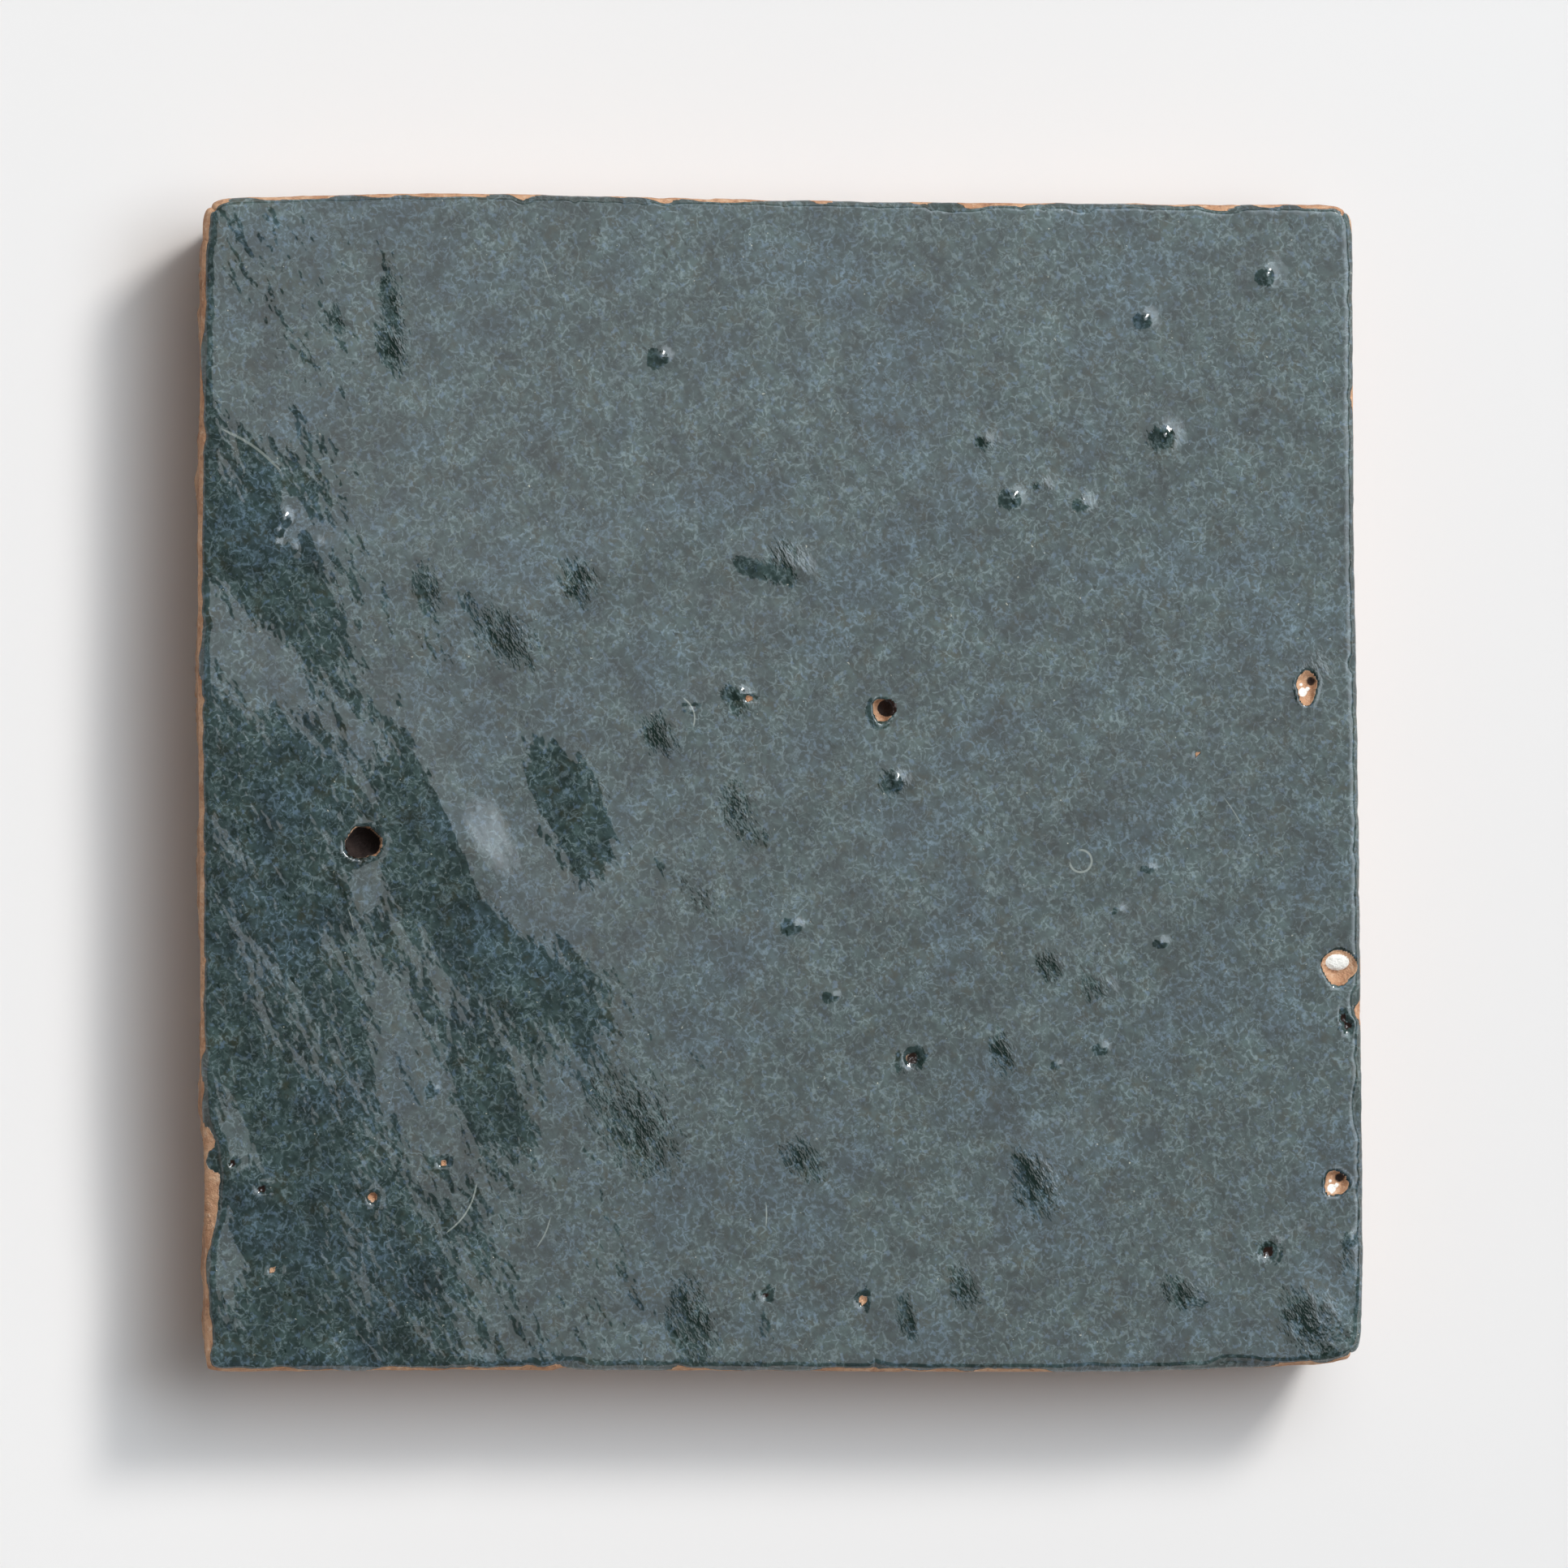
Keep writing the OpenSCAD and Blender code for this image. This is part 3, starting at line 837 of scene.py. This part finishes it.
def tile_material():
    n = Nodes("glazed_terracotta")
    # Glaze: a net of pale blue-grey veins over dark green, in patches, with a few specks
    bent = n.bent(n.scaled((1000, 1000, 1000)), 0.9, 0.75)
    net = n.net(bent, 1.05, 0.17)
    small_net = n.net(bent, 1.9, 0.16)
    present = n.ramp(n.noise(n.scaled((700, 560, 700), 30), 2.0, 0.55, True), 0.32, 0.52)
    small_present = n.ramp(n.noise(n.scaled((700, 600, 700), 120), 2.0, 0.55, True), 0.42, 0.62)
    net = n.math("MULTIPLY", net, present)
    small_net = n.math("MULTIPLY", n.math("MULTIPLY", small_net, small_present), 0.7)
    net = n.math("MAXIMUM", net, small_net)
    grain = n.noise(n.scaled((2600, 2200, 2600), 35), 2.0, 0.6, True)
    net = n.math("MULTIPLY", net, n.ramp(grain, 0.30, 0.60))
    zones = n.ramp(n.noise(n.scaled((110, 110, 110)), 3.0, 0.6, True), 0.30, 0.70)
    mottle = n.ramp(n.noise(n.scaled((1300, 1100, 1300), 35), 2.0, 0.55, True), 0.34, 0.66)
    blue_zones = n.ramp(n.noise(n.scaled((90, 110, 90), 20), 4.0, 0.65, True), 0.46, 0.66)
    brown_zones = n.ramp(n.noise(n.scaled((420, 420, 420)), 3.0, 0.6, True), 0.50, 0.70)
    dark = n.mix(brown_zones, (0.020, 0.034, 0.031), (0.031, 0.038, 0.027))
    middle = n.mix(blue_zones, (0.044, 0.070, 0.066), (0.042, 0.068, 0.076))
    ground = n.mix(n.math("MULTIPLY_ADD", zones, 0.18, n.math("MULTIPLY", mottle, 0.68)), dark, middle)
    clouds = n.noise(n.scaled((430, 360, 430), 35), 2.0, 0.6, True)
    broad = n.noise(n.scaled((150, 130, 150), 35), 2.0, 0.6, True)
    clouds = n.math("MULTIPLY_ADD", clouds, 1.3, n.math("MULTIPLY_ADD", broad, 0.9, -0.10))
    vein_color = n.mix(blue_zones, (0.120, 0.160, 0.163), (0.104, 0.153, 0.185))
    glaze = n.mix(n.math("MULTIPLY", net, 0.82), ground, vein_color)
    blue_specks = n.ramp(n.noise(n.scaled((1700, 1500, 1700), 35), 2.0, 0.6, True), 0.58, 0.74)
    glaze = n.mix(n.math("MULTIPLY", blue_specks, 0.6), glaze, (0.085, 0.130, 0.175))
    specks = n.ramp(n.noise(n.scaled((1900, 1900, 1900)), 2.0, 0.6, True), 0.775, 0.83)
    glaze = n.mix(n.math("MULTIPLY", specks, 0.9), glaze, (0.36, 0.36, 0.30))
    glaze = n.scaled_color(glaze, clouds)
    # Painted dark reflection: the blotches, feathered by a noise, turn the glaze near black
    feather = n.noise(n.scaled((900, 480, 900), 30), 3.0, 0.7, True)
    feathered = n.math("MULTIPLY_ADD", n.math("SUBTRACT", feather, 0.5), 3.2, n.attribute("painted_dark_reflection"))
    painted_dark_reflection = n.ramp(feathered, 0.55, 0.85)
    glaze = n.mix(n.math("MULTIPLY", painted_dark_reflection, 0.95), glaze, (0.008, 0.018, 0.014))
    # Thin pale hairs and one ring in the glaze
    for place, radius, width, toward, reach, strength in HAIRS:
        hair = n.arc(place, radius, width, toward, reach)
        glaze = n.mix(n.math("MULTIPLY", hair, strength), glaze, (0.27, 0.30, 0.27))
    # Bare clay
    clay_tone = n.noise(n.scaled((260, 260, 260)), 4.0, 0.65)
    clay_grit = n.noise(n.scaled((1700, 1700, 1700)), 3.0, 0.7)
    clay = n.mix(n.ramp(clay_tone, 0.3, 0.7), (0.40, 0.195, 0.100), (0.60, 0.360, 0.215))
    clay = n.mix(n.math("MULTIPLY", n.ramp(clay_grit, 0.52, 0.72), 0.55), clay, (0.70, 0.52, 0.38))
    clay = n.mix(n.math("MULTIPLY", n.ramp(clay_grit, 0.46, 0.30), 0.6), clay, (0.20, 0.085, 0.05))
    # Painted shade: the clay of the cut sides, below the top, is darkened to look in shade; this also
    # sends less pink light onto the floor
    place = n.tree.nodes.new("ShaderNodeSeparateXYZ")
    n.set(place.inputs[0], n.position)
    low = n.ramp(place.outputs["Z"], 0.0114, 0.0104)
    clay = n.scaled_color(clay, n.math("MULTIPLY_ADD", low, -0.35, 1.0))
    # Where the clay lies bare: the attribute, made ragged by a fine noise
    ragged = n.math("MULTIPLY_ADD", n.noise(n.scaled((1300, 1300, 1300)), 3.0, 0.6), 0.8, -0.4)
    bare = n.ramp(n.math("ADD", n.attribute("bare"), ragged), 0.40, 0.60)
    lime = n.ramp(n.math("ADD", n.attribute("lime"), n.math("MULTIPLY", ragged, 0.5)), 0.35, 0.65)
    # Painted shade: dark brown laid into the hollows of the bubbles, pits and pinholes
    painted_shade = n.ramp(n.math("ADD", n.attribute("painted_shade"), n.math("MULTIPLY", ragged, 0.5)), 0.35, 0.65)
    color = n.mix(bare, glaze, clay)
    color = n.mix(painted_shade, color, (0.020, 0.009, 0.006))
    color = n.mix(lime, color, (0.86, 0.83, 0.77))
    matte = n.math("MAXIMUM", bare, lime)
    n.set(n.bsdf.inputs["Base Color"], color)
    n.set(n.bsdf.inputs["Roughness"], n.math("MULTIPLY_ADD", matte, 0.85, 0.03))
    n.bsdf.inputs["IOR"].default_value = 1.5
    # Grit of the clay, and a faint orange peel on the glaze
    torn = n.math("MULTIPLY", n.attribute("painted_dark_reflection"), feather)
    torn = n.math("MULTIPLY_ADD", torn, 6.0, n.noise(n.scaled((420, 220, 420), 30), 2.0, 0.5, True))
    torn = n.bump(torn, 0.000026)
    peel = n.bump(n.noise(n.scaled((1500, 1100, 1500), 35), 1.0, 0.5, True), 0.000006, 1.0, torn)
    grit = n.math("MULTIPLY", clay_grit, matte)
    n.set(n.bsdf.inputs["Normal"], n.bump(grit, 0.00022, 1.0, peel))
    return n.material


tile.data.materials.append(tile_material())

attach(tile, "root")
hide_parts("tile")

# Floor: as bright as the photo shows it, whatever the lamps give from place to place

FLOOR_COLOR = (0.855, 0.823, 0.799)
# The near floor is a little darker, because the lamps give it a little more than its colour
NEAR_SHARE = 0.955
FLOOR_HALF = 20.0
corners = [(-FLOOR_HALF, -FLOOR_HALF, 0), (FLOOR_HALF, -FLOOR_HALF, 0)]
corners += [(FLOOR_HALF, FLOOR_HALF, 0), (-FLOOR_HALF, FLOOR_HALF, 0)]
floor_mesh = bpy.data.meshes.new("Floor")
floor_mesh.from_pydata(corners, [], [(0, 1, 2, 3)])
floor = bpy.data.objects.new("Floor", floor_mesh)
scene.collection.objects.link(floor)


def floor_material():
    n = Nodes("Floor")
    away = n.length(n.position)
    far = n.ramp(away, 0.15, 0.45)
    # The lamps stand at one side: the floor is a little paler away from them, darker towards them
    place = n.tree.nodes.new("ShaderNodeSeparateXYZ")
    n.set(place.inputs[0], n.position)
    lit = n.math("MULTIPLY_ADD", place.outputs["X"], 1.3, 1.0)
    lit = n.math("MULTIPLY_ADD", place.outputs["Y"], 0.9, lit)
    even = n.math("DIVIDE", 1.0, n.math("MINIMUM", n.math("MAXIMUM", lit, 0.86), 1.2))
    near_color = n.scaled_color(FLOOR_COLOR, n.math("MULTIPLY", even, NEAR_SHARE))
    path = n.tree.nodes.new("ShaderNodeLightPath").outputs
    seen = n.math("MAXIMUM", path["Is Camera Ray"], path["Is Glossy Ray"])
    glow = n.math("MULTIPLY", far, seen)
    n.set(n.bsdf.inputs["Base Color"], n.mix(glow, near_color, (0, 0, 0)))
    n.bsdf.inputs["Emission Color"].default_value = (*FLOOR_COLOR, 1)
    n.set(n.bsdf.inputs["Emission Strength"], glow)
    n.bsdf.inputs["Roughness"].default_value = 1.0
    n.bsdf.inputs["Specular IOR Level"].default_value = 0.0
    return n.material


floor_mesh.materials.append(floor_material())

# Lights

SOFTBOX_AT = (0.2548, 0.243, 0.6)
SOFTBOX_SIZE = (0.6, 0.7)
SOFTBOX_RADIANCE = 1.5
STEP_RADIANCE = 0.24
CORE_COUNT = 3
CORE_SIZE = (0.33, 0.50)
CORE_RADIANCE = 3.4
KEY_POWER = 12.0

world = bpy.data.worlds.new("World")
scene.world = world
world.use_nodes = True
world_tree = world.node_tree
sky_up = world_tree.nodes.new("ShaderNodeSeparateXYZ")
world_tree.links.new(world_tree.nodes.new("ShaderNodeTexCoord").outputs["Generated"], sky_up.inputs[0])
sky_fade = world_tree.nodes.new("ShaderNodeMapRange")
sky_fade.interpolation_type = "SMOOTHSTEP"
sky_fade.inputs["From Min"].default_value = 0.12
sky_fade.inputs["From Max"].default_value = 0.42
world_tree.links.new(sky_up.outputs["Z"], sky_fade.inputs["Value"])
sky = world_tree.nodes.new("ShaderNodeMix")
sky.data_type = "RGBA"
world_tree.links.new(sky_fade.outputs["Result"], sky.inputs[0])
sky.inputs[6].default_value = (*FLOOR_COLOR, 1)
sky.inputs[7].default_value = (0.125, 0.13, 0.135, 1)
world_tree.links.new(sky.outputs[2], world_tree.nodes["Background"].inputs["Color"])


def area_light(name, location, aim, size, power, color, turn=None):
    data = bpy.data.lights.new(name, "AREA")
    data.shape = "RECTANGLE"
    data.size, data.size_y = size
    data.energy = power
    data.color = color
    light = bpy.data.objects.new(name, data)
    light.location = location
    if turn is None:
        direction = Vector(aim) - Vector(location)
        light.rotation_euler = direction.to_track_quat("-Z", "Y").to_euler()
    else:
        light.rotation_euler = (0, 0, math.radians(turn))
    light.visible_camera = False
    scene.collection.objects.link(light)
    return light


def panel(name, location, size, radiance, color):
    """A level lamp over the tile, with the brightness that its reflection shows."""
    power = radiance * math.pi * size[0] * size[1]
    return area_light(name, location, None, size, power, color, SOFTBOX_TURN)


panel("Softbox", SOFTBOX_AT, SOFTBOX_SIZE, SOFTBOX_RADIANCE, (0.95, 1.0, 1.04))
# The softbox grows brighter away from its lower edge, in two steps
softbox_across = math.sin(math.radians(SOFTBOX_TURN))
softbox_along = math.cos(math.radians(SOFTBOX_TURN))
for raised in (0.15, 0.21):
    at = (
        SOFTBOX_AT[0] - softbox_across * raised / 2,
        SOFTBOX_AT[1] + softbox_along * raised / 2,
        SOFTBOX_AT[2] - 0.01 * raised,
    )
    panel("SoftboxStep", at, (SOFTBOX_SIZE[0], SOFTBOX_SIZE[1] - raised), STEP_RADIANCE, (0.93, 1.0, 1.07))
# Its core is brighter still, and fades in towards the right
for k in range(CORE_COUNT):
    at = (0.276 + 0.030 * k, 0.205, 0.596 - 0.001 * k)
    panel("SoftboxCore", at, CORE_SIZE, CORE_RADIANCE / CORE_COUNT, (0.88, 1.0, 1.12))
area_light("Key", (0.74, 0.82, 1.04), (0, 0, 0), (0.34, 0.34), KEY_POWER, (1.0, 0.98, 0.95))
